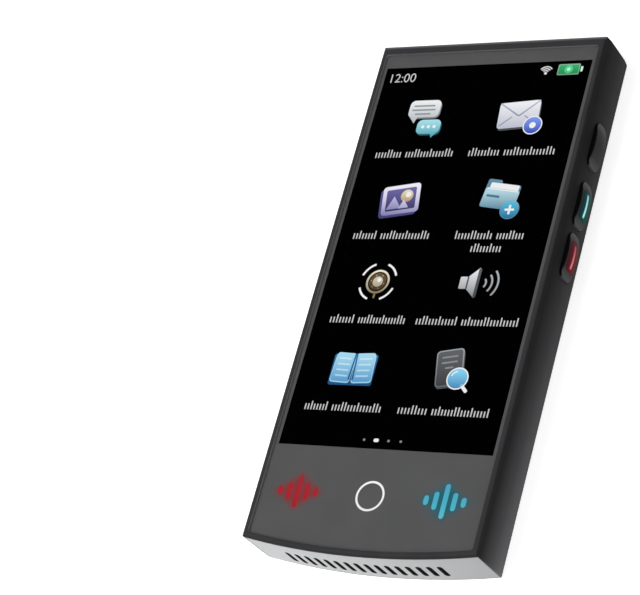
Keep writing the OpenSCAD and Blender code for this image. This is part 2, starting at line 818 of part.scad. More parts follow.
module teal_plunger() {
    plunger(teal_y);
}

module red_plunger() {
    plunger(red_y);
}

// The fixed part of a switch, with the well that its plunger moves in
module switch_body(y) {
    well = plunger_size + 2 * [fit_gap, fit_gap];
    color("#9c9ea1") difference() {
        facing_side(switch_x0, y, switch_depth) square(switch_size, center = true);
        facing_side(switch_x1 - plunger_in - key_travel - fit_gap, y, switch_depth)
            square(well, center = true);
    }
}

module power_switch() {
    switch_body(power_y);
}

module teal_switch() {
    switch_body(teal_y);
}

module red_switch() {
    switch_body(red_y);
}

module side_key_board() {
    color("#12402c") span([key_board_x0, red_y - key_board_end, key_z - key_board_h / 2],
                          [switch_x0, power_y + key_board_end, key_z + key_board_h / 2]);
}

module side_key_leds() {
    color("#e8e6da") for (y = [teal_y, red_y], s = [-1, 1])
        translate([switch_x0, y + s * key_led_step - key_led_size.y / 2, key_z - key_led_size.z / 2])
            cube(key_led_size);
}

// Cable from the lower edge of the side key board, under the rail and up to the main board
module side_key_flex() {
    low = key_z - key_board_h / 2;
    dip = low - key_flex_drop;
    rise_x = board_x1 - 2 * slack;
    color("#b06a1f") translate([0, key_flex_y + key_flex_w / 2, 0]) rotate([90, 0, 0])
        linear_extrude(key_flex_w) polygon([
            [switch_x0, low], [key_board_x0, low], [key_board_x0, dip + flex_t], [rise_x, dip + flex_t],
            [rise_x, board_z0], [rise_x - flex_t, board_z0], [rise_x - flex_t, dip], [switch_x0, dip]
        ]);
}

module main_board() {
    cut = camera_w / 2 + slack;
    color("#155237") difference() {
        span([board_x0, board_y0, board_z0], [board_x1, board_y1, board_z1]);
        span([camera_x - cut, cam_y - cut, board_z0 - over], [camera_x + cut, cam_y + cut, board_z1 + over]);
        for (i = [0:3]) translate([board_screw_spots[i].x, board_screw_spots[i].y, board_z0 - over])
            cylinder(r = screw_r + 2 * fit_gap, h = board_t + 2 * over);
    }
}

// A part on the underside of a board: low corner, size and height
module under_board(x, y, size) {
    translate([x, y, board_z0 - size.z]) cube(size);
}

// A shield can under the main board, open towards the board
module shield_can(x, y, size) {
    difference() {
        under_board(x, y, [size.x, size.y, can_h]);
        translate([0, 0, can_t])
            under_board(x + can_t, y + can_t, [size.x - 2 * can_t, size.y - 2 * can_t, can_h]);
    }
}

module processor_shield() {
    color("#b9bcbf") shield_can(processor_can_x, processor_can_y, processor_can);
}

module radio_shield() {
    color("#b9bcbf") shield_can(radio_can_x, radio_can_y, radio_can);
}

module processor_chip() {
    far_y = processor_can_y + processor_can.y - chip_inset;
    color("#1a1a1c") under_board(processor_can_x + chip_inset, far_y - processor_size.y, processor_size);
}

module memory_chip() {
    color("#1a1a1c") under_board(processor_can_x + chip_inset, processor_can_y + chip_inset, memory_size);
}

module radio_chip() {
    color("#1a1a1c") under_board(radio_can_x + radio_can.x / 2 - radio_size.x / 2,
                                 radio_can_y + radio_can.y / 2 - radio_size.y / 2, radio_size);
}

// Plugs of the battery and the lower board's cable, of the display above the board, and on the lower board
module board_plugs() {
    color("#1f1f21") {
        for (x = [battery_plug_x, lower_plug_x])
            under_board(x - plug_size.x / 2, board_y0 + slack, plug_size - [0, 0, flex_t]);
        translate([-plug_size.x / 2, panel_y1 - 4 * plug_size.y, board_z1 + flex_t])
            cube([plug_size.x, plug_size.y, boss_h - 2 * flex_t]);
        under_board(lower_plug_x - plug_size.x / 2, lower_y1 - plug_size.y - slack,
                    plug_size - [0, 0, flex_t]);
    }
}

module board_screws() {
    color("#8b8d90") for (p = board_screw_spots)
        translate([p.x, p.y, board_z0]) screw(board_t + boss_h + screw_bite - fit_gap);
}

module port_shell() {
    color("#a9acb0") difference() {
        facing_end(0, port_y1, port_z, port_depth) stadium(port_w + 2 * port_sheet, port_h + 2 * port_sheet);
        facing_end(0, port_y1 + over, port_z, port_depth - port_sheet + over) stadium(port_w, port_h);
    }
}

module port_tongue() {
    back_y = port_y1 - port_depth + port_sheet;
    color("#1b1b1c") span([-tongue_size.x / 2, back_y, port_z - tongue_size.z / 2],
                          [tongue_size.x / 2, back_y + tongue_size.y, port_z + tongue_size.z / 2]);
}

module top_microphone() {
    color("#c8b98a") under_board(top_mic_x - top_mic_size.x / 2, board_y1 - top_mic_size.y, top_mic_size);
}

module antenna_strip() {
    color("#b06a1f") span([-in_x, teal_y, cover_t + clip_rail_h + slack],
                          [-in_x + antenna_t, power_y + key_len, board_z0 - slack]);
}

module camera_module() {
    color("#232326") span([camera_x - camera_w / 2, cam_y - camera_w / 2, plate_z0 - camera_body_h],
                          [camera_x + camera_w / 2, cam_y + camera_w / 2, plate_z0]);
}

module camera_barrel() {
    front = cover_t - camera_seat_t + camera_glass_t;
    color("#111113") translate([camera_x, cam_y, front]) difference() {
        cylinder(r = barrel_r, h = plate_z0 - camera_body_h - front);
        translate([0, 0, -over]) cylinder(r1 = barrel_r, r2 = barrel_r / 2, h = over + camera_glass_t);
    }
}

module camera_window() {
    color("#1c2024", 0.35) translate([camera_x, cam_y, cover_t - camera_seat_t - camera_glass_t])
        cylinder(r = camera_window_r, h = camera_glass_t);
}

module camera_ring() {
    color("#7d8084") translate([camera_x, cam_y, camera_recess]) difference() {
        cylinder(r = camera_ring_r, h = cover_t - camera_seat_t - camera_recess);
        translate([0, 0, -over]) cylinder(r = camera_window_r + fit_gap, h = cover_t + 2 * over);
    }
}

module flash_led() {
    color("#e9d98a")
        under_board(flash_x - flash_led_size.x / 2, cam_y - flash_led_size.y / 2, flash_led_size);
}

module flash_lens() {
    color("#e6e8ea", 0.5) translate([flash_x, cam_y, camera_recess]) {
        cylinder(r = flash_r, h = board_z0 - flash_led_size.z - camera_recess);
        translate([0, 0, cover_t - camera_recess]) cylinder(r = flash_r + flash_flange, h = flash_flange);
    }
}

module battery() {
    color("#3a3d42") span([battery_x0, battery_y0, battery_z0],
                          [battery_x0 + battery_w, battery_y1, battery_z1]);
}

module battery_tape() {
    inset = 4 * slack;
    color("#e4e4e0") span([battery_x0 + inset, battery_y0 + inset, battery_z1],
                          [battery_x0 + battery_w - inset, battery_y1 - inset, plate_z0]);
}

module battery_lead() {
    low = board_z0 - plug_size.z + flex_t;
    color("#b06a1f") span([battery_plug_x - lead_w / 2, battery_y1, low - flex_t],
                          [battery_plug_x + lead_w / 2, board_y0 + slack + plug_size.y, low]);
}

// Cable from the main board, over the back of the battery, to the lower board
module lower_flex() {
    up_y = battery_y1 + slack;
    down_y = battery_y0 - slack;
    plug_y1 = board_y0 + slack + plug_size.y;
    plug_y0 = lower_y1 - slack - plug_size.y;
    low = board_z0 - plug_size.z + flex_t;
    color("#b06a1f") flat_cable(lower_plug_x, lower_flex_w) polygon([
        [plug_y1, low], [up_y, low], [up_y, battery_z0], [down_y, battery_z0], [down_y, low], [plug_y0, low],
        [plug_y0, low - flex_t], [down_y - flex_t, low - flex_t], [down_y - flex_t, battery_z0 - flex_t],
        [up_y + flex_t, battery_z0 - flex_t], [up_y + flex_t, low - flex_t], [plug_y1, low - flex_t]
    ]);
}

module lower_board() {
    color("#155237") difference() {
        span([-in_x + slack, lower_y0, board_z0], [in_x - slack, lower_y1, board_z1]);
        for (i = [4, 5]) translate([board_screw_spots[i].x, board_screw_spots[i].y, board_z0 - over])
            cylinder(r = screw_r + 2 * fit_gap, h = board_t + 2 * over);
    }
}

module speaker_box() {
    low = [speaker_x0, speaker_y0, speaker_z0];
    high = [speaker_x1, speaker_y0 + speaker_depth, speaker_z0 + speaker_t];
    skin = [speaker_wall, speaker_wall, speaker_wall];
    color("#1d1d1f") difference() {
        span(low, high);
        span(low + skin - [0, 2 * speaker_wall, 0], high - skin);
    }
}

module speaker_driver() {
    mid_x = (speaker_x0 + speaker_x1) / 2;
    back_y = speaker_y0 + speaker_depth - speaker_wall;
    floor_z = speaker_z0 + speaker_wall;
    color("#b7a27a") span([mid_x - driver_size.x / 2, back_y - driver_size.y, floor_z],
                          [mid_x + driver_size.x / 2, back_y, floor_z + driver_size.z]);
}

module speaker_gasket() {
    wid = speaker_x1 - speaker_x0;
    color("#2a2a2a") facing_end((speaker_x0 + speaker_x1) / 2, speaker_y0, speaker_z, gasket_t) difference() {
        square([wid, speaker_t], center = true);
        square([wid - 2 * speaker_wall, speaker_mouth_h], center = true);
    }
}

module microphone_boot() {
    color("#2a2a2a") difference() {
        facing_end(mic_x, in_bot + boot_floor + mic_len, mic_z, boot_floor + mic_len)
            circle(r = mic_r + boot_wall);
        facing_end(mic_x, in_bot + boot_floor + mic_len + over, mic_z, mic_len + over)
            circle(r = mic_r + fit_gap);
        facing_end(mic_x, in_bot + over, mic_z, 2 * over) circle(r = mic_hole_r);
    }
}

module bottom_microphone() {
    color("#c8b98a") facing_end(mic_x, in_bot + boot_floor + mic_len, mic_z, mic_len) circle(r = mic_r);
}

main_frame();
back_cover();
bottom_cap();
slot_mesh();
cap_screws();
cover_glass();
border_film();
display_panel();
display_backlight();
display_flex();
touch_key_board();
touch_key_leds();
key_light_guide();
power_button();
teal_talk_button();
red_talk_button();
teal_light_strip();
red_light_strip();
power_plunger();
teal_plunger();
red_plunger();
power_switch();
teal_switch();
red_switch();
side_key_board();
side_key_leds();
side_key_flex();
main_board();
processor_chip();
memory_chip();
processor_shield();
radio_chip();
radio_shield();
board_plugs();
board_screws();
port_shell();
port_tongue();
top_microphone();
antenna_strip();
camera_module();
camera_barrel();
camera_window();
camera_ring();
flash_led();
flash_lens();
battery();
battery_tape();
battery_lead();
lower_flex();
lower_board();
speaker_box();
speaker_driver();
speaker_gasket();
bottom_microphone();
microphone_boot();
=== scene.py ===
import math

import bpy
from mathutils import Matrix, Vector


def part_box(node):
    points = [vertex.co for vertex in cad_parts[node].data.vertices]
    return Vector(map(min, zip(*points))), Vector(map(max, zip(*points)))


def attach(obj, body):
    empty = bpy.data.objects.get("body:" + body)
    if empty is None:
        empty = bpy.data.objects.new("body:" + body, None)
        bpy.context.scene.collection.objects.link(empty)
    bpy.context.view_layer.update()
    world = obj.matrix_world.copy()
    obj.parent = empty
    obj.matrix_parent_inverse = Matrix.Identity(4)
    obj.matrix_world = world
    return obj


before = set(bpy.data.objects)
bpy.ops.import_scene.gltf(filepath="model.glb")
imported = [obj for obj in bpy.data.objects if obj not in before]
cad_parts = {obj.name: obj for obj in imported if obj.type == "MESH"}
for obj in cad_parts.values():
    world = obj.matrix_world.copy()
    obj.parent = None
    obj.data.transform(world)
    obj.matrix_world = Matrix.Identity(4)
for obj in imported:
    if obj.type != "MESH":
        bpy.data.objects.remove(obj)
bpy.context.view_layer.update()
bpy.ops.object.select_all(action="DESELECT")


# ---- Frame ----------------------------------------------------------------------------
# One dark moulding of glass-filled nylon: walls, front rim and middle plate. It comes out of a
# spark-eroded mould, so it has a fine matt grain, and handling polishes it a little in places.


def tone(code):
    """The linear colour of a six-digit colour code."""
    parts = [int(code[i : i + 2], 16) / 255 for i in (0, 2, 4)]
    return [c / 12.92 if c <= 0.04045 else ((c + 0.055) / 1.055) ** 2.4 for c in parts] + [1.0]


def surface(name, rough=0.5, metal=0.0, shine=0.5):
    """A new material: its tree, its shader and the point on the piece, in millimetres."""
    finish = bpy.data.materials.new(name)
    finish.use_nodes = True
    tree = finish.node_tree
    shader = tree.nodes["Principled BSDF"]
    shader.inputs["Roughness"].default_value = rough
    shader.inputs["Metallic"].default_value = metal
    shader.inputs["Specular IOR Level"].default_value = shine
    place = tree.nodes.new("ShaderNodeTexCoord")
    in_mm = tree.nodes.new("ShaderNodeVectorMath")
    in_mm.operation = "SCALE"
    in_mm.inputs["Scale"].default_value = 1000
    tree.links.new(place.outputs["Object"], in_mm.inputs[0])
    return finish, tree, shader, in_mm.outputs[0]


def noise(tree, point, scale, detail=2.0):
    """Soft noise with about scale patches to the millimetre, from 0 to 1."""
    spots = tree.nodes.new("ShaderNodeTexNoise")
    spots.inputs["Scale"].default_value = scale
    spots.inputs["Detail"].default_value = detail
    tree.links.new(point, spots.inputs["Vector"])
    return spots.outputs["Fac"]


def ramp(tree, value, stops):
    """Colours laid over a value: stops are (position, colour code)."""
    colours = tree.nodes.new("ShaderNodeValToRGB")
    marks = colours.color_ramp.elements
    while len(marks) < len(stops):
        marks.new(1.0)
    for mark, (position, code) in zip(marks, stops):
        mark.position = position
        mark.color = tone(code)
    tree.links.new(value, colours.inputs["Fac"])
    return colours.outputs["Color"]


def spread(tree, value, low, high, to_low=0.0, to_high=1.0):
    """A value between low and high, carried over to the range to_low to to_high."""
    reach = tree.nodes.new("ShaderNodeMapRange")
    for socket, number in zip(
        ("From Min", "From Max", "To Min", "To Max"), (low, high, to_low, to_high)
    ):
        reach.inputs[socket].default_value = number
    tree.links.new(value, reach.inputs["Value"])
    return reach.outputs["Result"]


def sums(tree, kind, first, second=None):
    """One sum, product, size or the like of two values, the second of which may be a number."""
    step = tree.nodes.new("ShaderNodeMath")
    step.operation = kind
    for socket, value in zip(step.inputs, (first, second)):
        if value is None:
            continue
        if isinstance(value, (int, float)):
            socket.default_value = value
        else:
            tree.links.new(value, socket)
    return step.outputs[0]


def blended(tree, share, low, high):
    """A colour between two, by a share from 0 to 1."""
    mix = tree.nodes.new("ShaderNodeMix")
    mix.data_type = "RGBA"
    for socket, value in (("Factor", share), ("A", low), ("B", high)):
        if isinstance(value, str):
            mix.inputs[socket].default_value = tone(value)
        elif isinstance(value, float):
            mix.inputs[socket].default_value = value
        else:
            tree.links.new(value, mix.inputs[socket])
    return mix.outputs["Result"]


def axes(tree, vector):
    """The three parts of a vector, by name."""
    parts = tree.nodes.new("ShaderNodeSeparateXYZ")
    tree.links.new(vector, parts.inputs[0])
    return parts.outputs


def facing(tree):
    """The parts of the direction that a face looks in."""
    shape = tree.nodes.new("ShaderNodeNewGeometry")
    return axes(tree, shape.outputs["True Normal"])


def mottled(tree, point, dark, light):
    """Two close colours in soft patches about a centimetre wide."""
    return ramp(tree, noise(tree, point, 0.12, 3.0), [(0.3, dark), (0.7, light)])


def handled(tree, shader, point, rough):
    """A roughness that handling has changed a little from place to place."""
    changed = spread(tree, noise(tree, point, 0.3), 0.3, 0.7, rough - 0.05, rough + 0.05)
    tree.links.new(changed, shader.inputs["Roughness"])


def roughen(tree, shader, height, depth, strength=0.5):
    """Gives the shader a relief of that depth in millimetres."""
    relief = tree.nodes.new("ShaderNodeBump")
    relief.inputs["Strength"].default_value = strength
    relief.inputs["Distance"].default_value = depth / 1000
    tree.links.new(height, relief.inputs["Height"])
    tree.links.new(relief.outputs["Normal"], shader.inputs["Normal"])


def dress(finish, *names):
    """Puts a finish on CAD nodes."""
    for name in names:
        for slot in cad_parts[name].material_slots:
            slot.material = finish


body_thick = 12.8
glass_seat = 12.1

frame_nylon, tree, shader, point = surface("frame_nylon", shine=0.03)
spot, look = axes(tree, point), facing(tree)
height = spread(tree, spot["Z"], 0.0, body_thick)
# Painted shade and light: the walls are painted darker near the rim and paler towards the back
wall = ramp(
    tree, height, [(0.0, "525254"), (0.45, "353537"), (0.85, "1f1f20"), (1.0, "262627")]
)
wall_painted_end_light = ramp(
    tree, height, [(0.0, "828284"), (0.45, "58585a"), (0.88, "272728"), (1.0, "2b2b2c")]
)
# Painted light: the walls are painted paler still towards the bottom end
wall = blended(tree, spread(tree, spot["Y"], 10.0, -66.0), wall, wall_painted_end_light)
rim_face = mottled(tree, point, "38383a", "3e3e40")
moulding = blended(tree, spread(tree, look["Z"], 0.35, 0.95), wall, rim_face)
# A painted highlight: the round of the top end is painted a little lighter
top_round_highlight = sums(
    tree, "MULTIPLY", spread(tree, spot["Y"], 61.9, 62.6), spread(tree, look["Z"], 0.2, 0.5)
)
moulding = blended(tree, top_round_highlight, moulding, "808082")
# Painted reflection: the wall of the glass's seat is painted grey like the print, paler on the
# left-hand side, for the film mirrored in the ground edge of the glass
inward = sums(
    tree, "ADD",
    sums(tree, "MULTIPLY", look["X"], spot["X"]), sums(tree, "MULTIPLY", look["Y"], spot["Y"]),
)
seat_wall = sums(
    tree, "MULTIPLY",
    spread(tree, inward, -2.0, -1.0, 1.0, 0.0),
    spread(tree, spot["Z"], glass_seat, glass_seat + 0.05),
)
painted_reflection = blended(tree, spread(tree, look["X"], -0.5, 0.5), "5c5c5e", "8e8e90")
tree.links.new(blended(tree, seat_wall, moulding, painted_reflection), shader.inputs["Base Color"])
handled(tree, shader, point, 0.47)
roughen(tree, shader, noise(tree, point, 6.0), 0.010)
dress(frame_nylon, "main_frame")


# ---- End cap and dust mesh ------------------------------------------------------------
# The end cap is a turned and blasted aluminium piece, anodised silver, with sixteen slots milled
# through it. A black woven mesh keeps dust out behind it, and two screws hold it from inside.


def moulded(name, dark, light, rough, grain=6.0, depth=0.012, metal=0.0):
    """A moulded, cast or rolled surface between two close colours, with a fine grain."""
    finish, tree, shader, point = surface(name, rough, metal)
    tree.links.new(mottled(tree, point, dark, light), shader.inputs["Base Color"])
    handled(tree, shader, point, rough)
    roughen(tree, shader, noise(tree, point, grain), depth)
    return finish


def waves(tree, point, scale, kind, axis):
    """Even waves, from 0 to 1: bands along an axis, or rings round it."""
    pattern = tree.nodes.new("ShaderNodeTexWave")
    pattern.wave_type = kind
    pattern.bands_direction = axis
    pattern.rings_direction = axis
    pattern.inputs["Scale"].default_value = scale
    tree.links.new(point, pattern.inputs["Vector"])
    return pattern.outputs["Fac"]


slot_count, slot_pitch, slot_straight = 16, 2.53, 1.92
row_x, row_z = -1.05, 5.0
row_half = slot_count / 2 * slot_pitch

cap_metal, tree, shader, point = surface("cap_anodised")
spot = axes(tree, point)
# Painted light: the silver is painted lighter on the left and darker on the right
silver = ramp(
    tree, spread(tree, spot["X"], -28.0, 28.0),
    [(0.0, "d2d3d4"), (0.6, "c6c7c8"), (1.0, "b2b3b4")],
)
blasted = spread(tree, noise(tree, point, 0.12, 3.0), 0.3, 0.7, 0.0, 0.15)
silver = blended(tree, blasted, silver, "b8b9ba")
# Painted shade: the walls of the slots and their broken edges are painted near black, rougher and
# not metallic
from_row = sums(tree, "SUBTRACT", spot["X"], row_x)
from_slot = sums(
    tree, "SUBTRACT", sums(tree, "FLOORED_MODULO", from_row, slot_pitch), slot_pitch / 2
)
up_slot = sums(tree, "ABSOLUTE", sums(tree, "SUBTRACT", spot["Z"], row_z))
past_end = sums(tree, "MAXIMUM", sums(tree, "SUBTRACT", up_slot, slot_straight), 0.0)
squares = [sums(tree, "MULTIPLY", part, part) for part in (from_slot, past_end)]
away = sums(tree, "SQRT", sums(tree, "ADD", *squares))
in_row = spread(tree, sums(tree, "ABSOLUTE", from_row), row_half - 0.1, row_half, 1.0, 0.0)
slot_painted_shade = sums(tree, "MULTIPLY", spread(tree, away, 0.60, 0.70, 1.0, 0.0), in_row)
tree.links.new(blended(tree, slot_painted_shade, silver, "0a0a0a"), shader.inputs["Base Color"])
tree.links.new(spread(tree, slot_painted_shade, 0.0, 1.0, 0.42, 0.8), shader.inputs["Roughness"])
tree.links.new(spread(tree, slot_painted_shade, 0.0, 1.0, 0.5, 0.0), shader.inputs["Metallic"])
roughen(tree, shader, noise(tree, point, 9.0), 0.006)
dress(cap_metal, "bottom_cap")

mesh_cloth, tree, shader, point = surface("mesh_woven", 0.8, shine=0.1)
weave = sums(tree, "MAXIMUM", *[waves(tree, point, 1.6, "BANDS", axis) for axis in ("X", "Z")])
tree.links.new(ramp(tree, weave, [(0.2, "000000"), (0.9, "060606")]), shader.inputs["Base Color"])
roughen(tree, shader, weave, 0.05)
dress(mesh_cloth, "slot_mesh")

plated_steel = moulded("screw_plated", "9a9ca0", "aaacb0", 0.3, grain=12.0, depth=0.003, metal=1.0)
dress(plated_steel, "cap_screws", "board_screws")


# ---- Display --------------------------------------------------------------------------
# A black panel over a white moulded backlight, with its amber cable folded over the top. Switched
# on, the black stays black, so the panel itself mirrors almost nothing.

panel_glass, tree, shader, point = surface("panel_black", 0.35, shine=0.0)
panel_black = ramp(tree, noise(tree, point, 4.0), [(0.3, "000000"), (0.7, "020203")])
tree.links.new(panel_black, shader.inputs["Base Color"])
dress(panel_glass, "display_panel")
dress(moulded("backlight_white", "dcdcd6", "e4e4e0", 0.5, grain=3.0), "display_backlight")
amber_film = moulded("cable_amber", "a85f18", "bd7424", 0.35, grain=2.0, depth=0.004)
dress(amber_film, "display_flex", "side_key_flex", "lower_flex", "battery_lead", "antenna_strip")


# ---- Touch keys -----------------------------------------------------------------------
# Under the lower glass lie a small circuit board, three lamps and a clear light guide. The signs
# are inks that let the light through, printed in the openings of the border film.

solder_mask = moulded("board_mask", "0f3d2a", "185a3c", 0.4, grain=1.5, depth=0.01)
dress(solder_mask, "touch_key_board", "side_key_board", "main_board", "lower_board")
lamp_lens = moulded("lamp_lens", "e8dfb0", "f2ecc8", 0.3, grain=3.0)
dress(lamp_lens, "touch_key_leds", "side_key_leds", "flash_led")
dress(moulded("guide_clear", "d8dde0", "e4e8ea", 0.35, grain=3.0), "key_light_guide")


def close_up(name, finish):
    """Ends a flat piece: merges it, turns its faces outwards, applies its place and coats it."""
    bpy.ops.mesh.select_all(action="SELECT")
    bpy.ops.mesh.remove_doubles(threshold=1e-8)
    bpy.ops.mesh.normals_make_consistent(inside=False)
    bpy.ops.object.mode_set(mode="OBJECT")
    bpy.ops.object.transform_apply(location=True, rotation=True, scale=True)
    piece = bpy.context.object
    piece.name = name
    piece.select_set(False)
    piece.data.materials.append(finish)
    return piece


def thicken(thick):
    """Draws the selected face up to a thickness in millimetres."""
    bpy.ops.mesh.extrude_region_move(TRANSFORM_OT_translate={"value": (0, 0, thick / 1000)})


def card(at, size, corner, low, thick, finish, turn=0.0):
    """A flat card with rounded corners, in millimetres, turned by degrees."""
    bpy.ops.mesh.primitive_plane_add(
        size=0.001,
        location=(at[0] / 1000, at[1] / 1000, low / 1000),
        rotation=(0, 0, math.radians(turn)),
    )
    bpy.context.object.scale = (size[0], size[1], 1)
    bpy.ops.object.transform_apply(location=False, rotation=False, scale=True)
    bpy.ops.object.mode_set(mode="EDIT")
    bpy.ops.mesh.bevel(offset=corner / 1000, segments=5, affect="VERTICES")
    thicken(thick)
    return close_up("card", finish)


def disc(at, radius, low, thick, finish, line=0.0, corners=40, turn=0.0):
    """A flat disc, or a ring where it has a line, in millimetres."""
    bpy.ops.mesh.primitive_circle_add(
        vertices=corners,
        radius=radius / 1000,
        fill_type="NGON",
        location=(at[0] / 1000, at[1] / 1000, low / 1000),
        rotation=(0, 0, math.radians(turn)),
    )
    bpy.ops.object.mode_set(mode="EDIT")
    bpy.ops.mesh.select_all(action="SELECT")
    if line:
        bpy.ops.mesh.inset(thickness=line / 1000)
        bpy.ops.mesh.delete(type="FACE")
        bpy.ops.mesh.select_all(action="SELECT")
    thicken(thick)
    return close_up("disc", finish)


def join(name, parts):
    """Joins flat pieces into one that rides on the housing."""
    for part in parts:
        part.select_set(True)
    bpy.context.view_layer.objects.active = parts[0]
    if len(parts) > 1:
        bpy.ops.object.join()
    piece = bpy.context.object
    piece.name = name
    piece.select_set(False)
    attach(piece, "housing")


def glowing(name, codes, strength, reach, body=0.0):
    """Ink or picture that gives off its own light: its colours run up it between two places."""
    finish, tree, shader, point = surface(name, 0.45, shine=0.15)
    speck = sums(tree, "MULTIPLY", noise(tree, point, 5.0), 0.06)
    run = sums(tree, "ADD", spread(tree, axes(tree, point)["Y"], *reach), speck)
    colour = ramp(tree, run, [(i / (len(codes) - 1), code) for i, code in enumerate(codes)])
    if body:
        tree.links.new(blended(tree, body, "000000", colour), shader.inputs["Base Color"])
    else:
        shader.inputs["Base Color"].default_value = tone("000000")
    tree.links.new(colour, shader.inputs["Emission Color"])
    shader.inputs["Emission Strength"].default_value = strength
    return finish


guide_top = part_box("key_light_guide")[1].z * 1000
ink_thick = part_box("border_film")[1].z * 1000 - guide_top - 0.01
ink_body = 0.35
keys_y = -51.4

ring_ink = glowing("ring_ink", ("e2e2e2", "ececec"), 0.85, (-55.0, -48.0), ink_body)
join("ring_key_ink", [disc((0, keys_y), 3.5, guide_top, ink_thick, ring_ink, 0.5, corners=72)])

wave_x, bar_pitch, bar_wide, bar_high = 18.25, 2.25, 1.18, 7.9
for side, name, codes in (
    (-1, "red_wave_ink", ("9c1824", "a91a26", "922630")),
    (1, "cyan_wave_ink", ("58bcca", "4aacc2", "4ea2c0")),
):
    wave_ink = glowing(name, codes, 0.75, (keys_y - 4.2, keys_y + 4.2), ink_body)
    bars = []
    for step, share in enumerate((0.28, 0.52, 1, 0.52, 0.28)):
        place = (side * wave_x + (step - 2) * bar_pitch, keys_y)
        size = (bar_wide, bar_high * share - 0.02)
        bars.append(card(place, size, 0.58, guide_top, ink_thick, wave_ink))
    join(name, bars)


# ---- Border film ----------------------------------------------------------------------
# A grey printed film under the glass hides all but the display and the signs of the touch keys.
# Its even print has a faint speckle, and round the waves a painted glow stands in for the lamps'
# light shining through it.

painted_glow_wide, painted_glow_high = 6.4, 4.6

film_print, tree, shader, point = surface("film_print", shine=0.2)
spot = axes(tree, point)
print_grey = mottled(tree, point, "585859", "5c5c5d")
# Painted light: round each wave the print is painted red or cyan, for the lamps' light shining
# through
for side, painted_glow in ((-1, "8a3338"), (1, "146977")):
    sideways = sums(tree, "ABSOLUTE", sums(tree, "SUBTRACT", spot["X"], side * wave_x))
    lengthways = sums(tree, "ABSOLUTE", sums(tree, "SUBTRACT", spot["Y"], keys_y))
    away = sums(
        tree, "ADD",
        sums(tree, "MULTIPLY", sideways, 1 / painted_glow_wide),
        sums(tree, "MULTIPLY", lengthways, 1 / painted_glow_high),
    )
    print_grey = blended(tree, spread(tree, away, 0.55, 1.2, 0.92, 0.0), print_grey, painted_glow)
tree.links.new(print_grey, shader.inputs["Base Color"])
roughen(tree, shader, noise(tree, point, 14.0), 0.002)
dress(film_print, "border_film")


# ---- Picture on the display -----------------------------------------------------------
# The lit picture: thin flat shapes on the panel, in layers under the glass. Its pictures are plain
# signs, rows of short strokes stand where a label would be, and the clock has plain digits.

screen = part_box("display_panel")[1].z * 1000
layer = 0.018
column, row = 0.0, 0.0


def level(number):
    """Height of a layer of the picture."""
    return screen + number * layer


def lit(name, *codes, reach=(-60.0, 60.0)):
    """Colours that run up a sign from its lowest, over a reach from its middle."""
    return glowing(name, codes, 1.0, (row + reach[0], row + reach[1]))


def patch(x, y, size, corner, number, finish, turn=0.0):
    """A card in a layer of the picture, placed from the middle of its sign."""
    return card((column + x, row + y), size, corner, level(number), layer, finish, turn)


def dot(x, y, radius, number, finish, corners, line=0.0, turn=0.0):
    """A disc or ring in a layer of the picture, placed from the middle of its sign."""
    place = (column + x, row + y)
    return disc(place, radius, level(number), layer, finish, line, corners, turn)


def arc(x, y, radius, line, start, sweep, number, finish):
    """Part of a flat ring, from the angle start round by sweep, in degrees."""
    bpy.ops.mesh.primitive_plane_add(size=0.001, rotation=(math.radians(90), 0, 0))
    bpy.ops.object.transform_apply(location=False, rotation=True, scale=False)
    bpy.ops.object.mode_set(mode="EDIT")
    bpy.ops.transform.resize(value=(line, 1, layer))
    middle = level(number) + layer / 2
    bpy.ops.transform.translate(value=(radius / 1000, 0, middle / 1000))
    steps = max(6, round(sweep / 6))
    bpy.ops.mesh.spin(steps=steps, angle=math.radians(sweep), center=(0, 0, 0), axis=(0, 0, -1))
    bpy.ops.object.mode_set(mode="OBJECT")
    piece = bpy.context.object
    piece.rotation_euler = (0, 0, math.radians(start))
    piece.location = ((column + x) / 1000, (row + y) / 1000, 0)
    bpy.ops.object.transform_apply(location=True, rotation=True, scale=False)
    bpy.ops.object.mode_set(mode="EDIT")
    return close_up("arc", finish)


white = lit("picture_white", "eeeeee", "f2f2f2")
soft_white = lit("picture_stroke", "cccccc", "d0d0d0")
grey = lit("picture_grey", "888a8c", "909294")
dark_grey = lit("picture_slate", "424448", "4a4c50")

# Labels: two heights of stem, which stand on one line
stem_wide, stem_pitch, word_gap = 0.3, 0.8, 0.85
stem_rise = (0.05, 0.38)
tall_stems = (0, 0, 1, 0, 1, 0, 0, 1, 0, 0)
stems = [patch(0, 0, (stem_wide, high), stem_wide * 0.3, 0, soft_white) for high in (1.45, 2.1)]


def strokes(place, *words):
    """A row of short thin strokes, in words of given lengths, centred on a place."""
    x = place[0] - (sum(words) + word_gap * (len(words) - 1)) / 2
    drawn = []
    for length in words:
        count = round(length / stem_pitch)
        for i in range(count):
            kind = tall_stems[(i * 7 + count) % len(tall_stems)]
            stem = stems[kind].copy()
            stem.data = stem.data.copy()
            bpy.context.collection.objects.link(stem)
            along, up = x + (i + 0.5) * length / count, place[1] + stem_rise[kind]
            stem.location = (along / 1000, up / 1000, 0)
            drawn.append(stem)
        x += length + word_gap
    return drawn


left, right = -13.05, 12.15
labels = []
for place, words in (
    ((left, 33.1), (7.2, 12.8)), ((right, 33.1), (8.2, 13.1)), ((left, 11.7), (6.4, 13.0)),
    ((right, 11.7), (9.6, 7.0)), ((right, 8.45), (7.9,)), ((left, -9.7), (6.6, 12.4)),
    ((right, -9.7), (10.6, 14.2)), ((left, -31.25), (6.2, 12.9)), ((right, -31.25), (7.6, 14.2)),
):
    labels += strokes(place, *words)
for stem in stems:
    bpy.data.objects.remove(stem)
join("label_strokes", labels)

# Page dots, the second of them long and white
pages_y = -38.45
dots = [dot(x, pages_y, 0.3, 0, grey, 20) for x in (-5.3, 0.85, 3.9)]
dots.append(patch(-2.25, pages_y, (1.3, 0.85), 0.4, 0, white))
join("page_dots", dots)

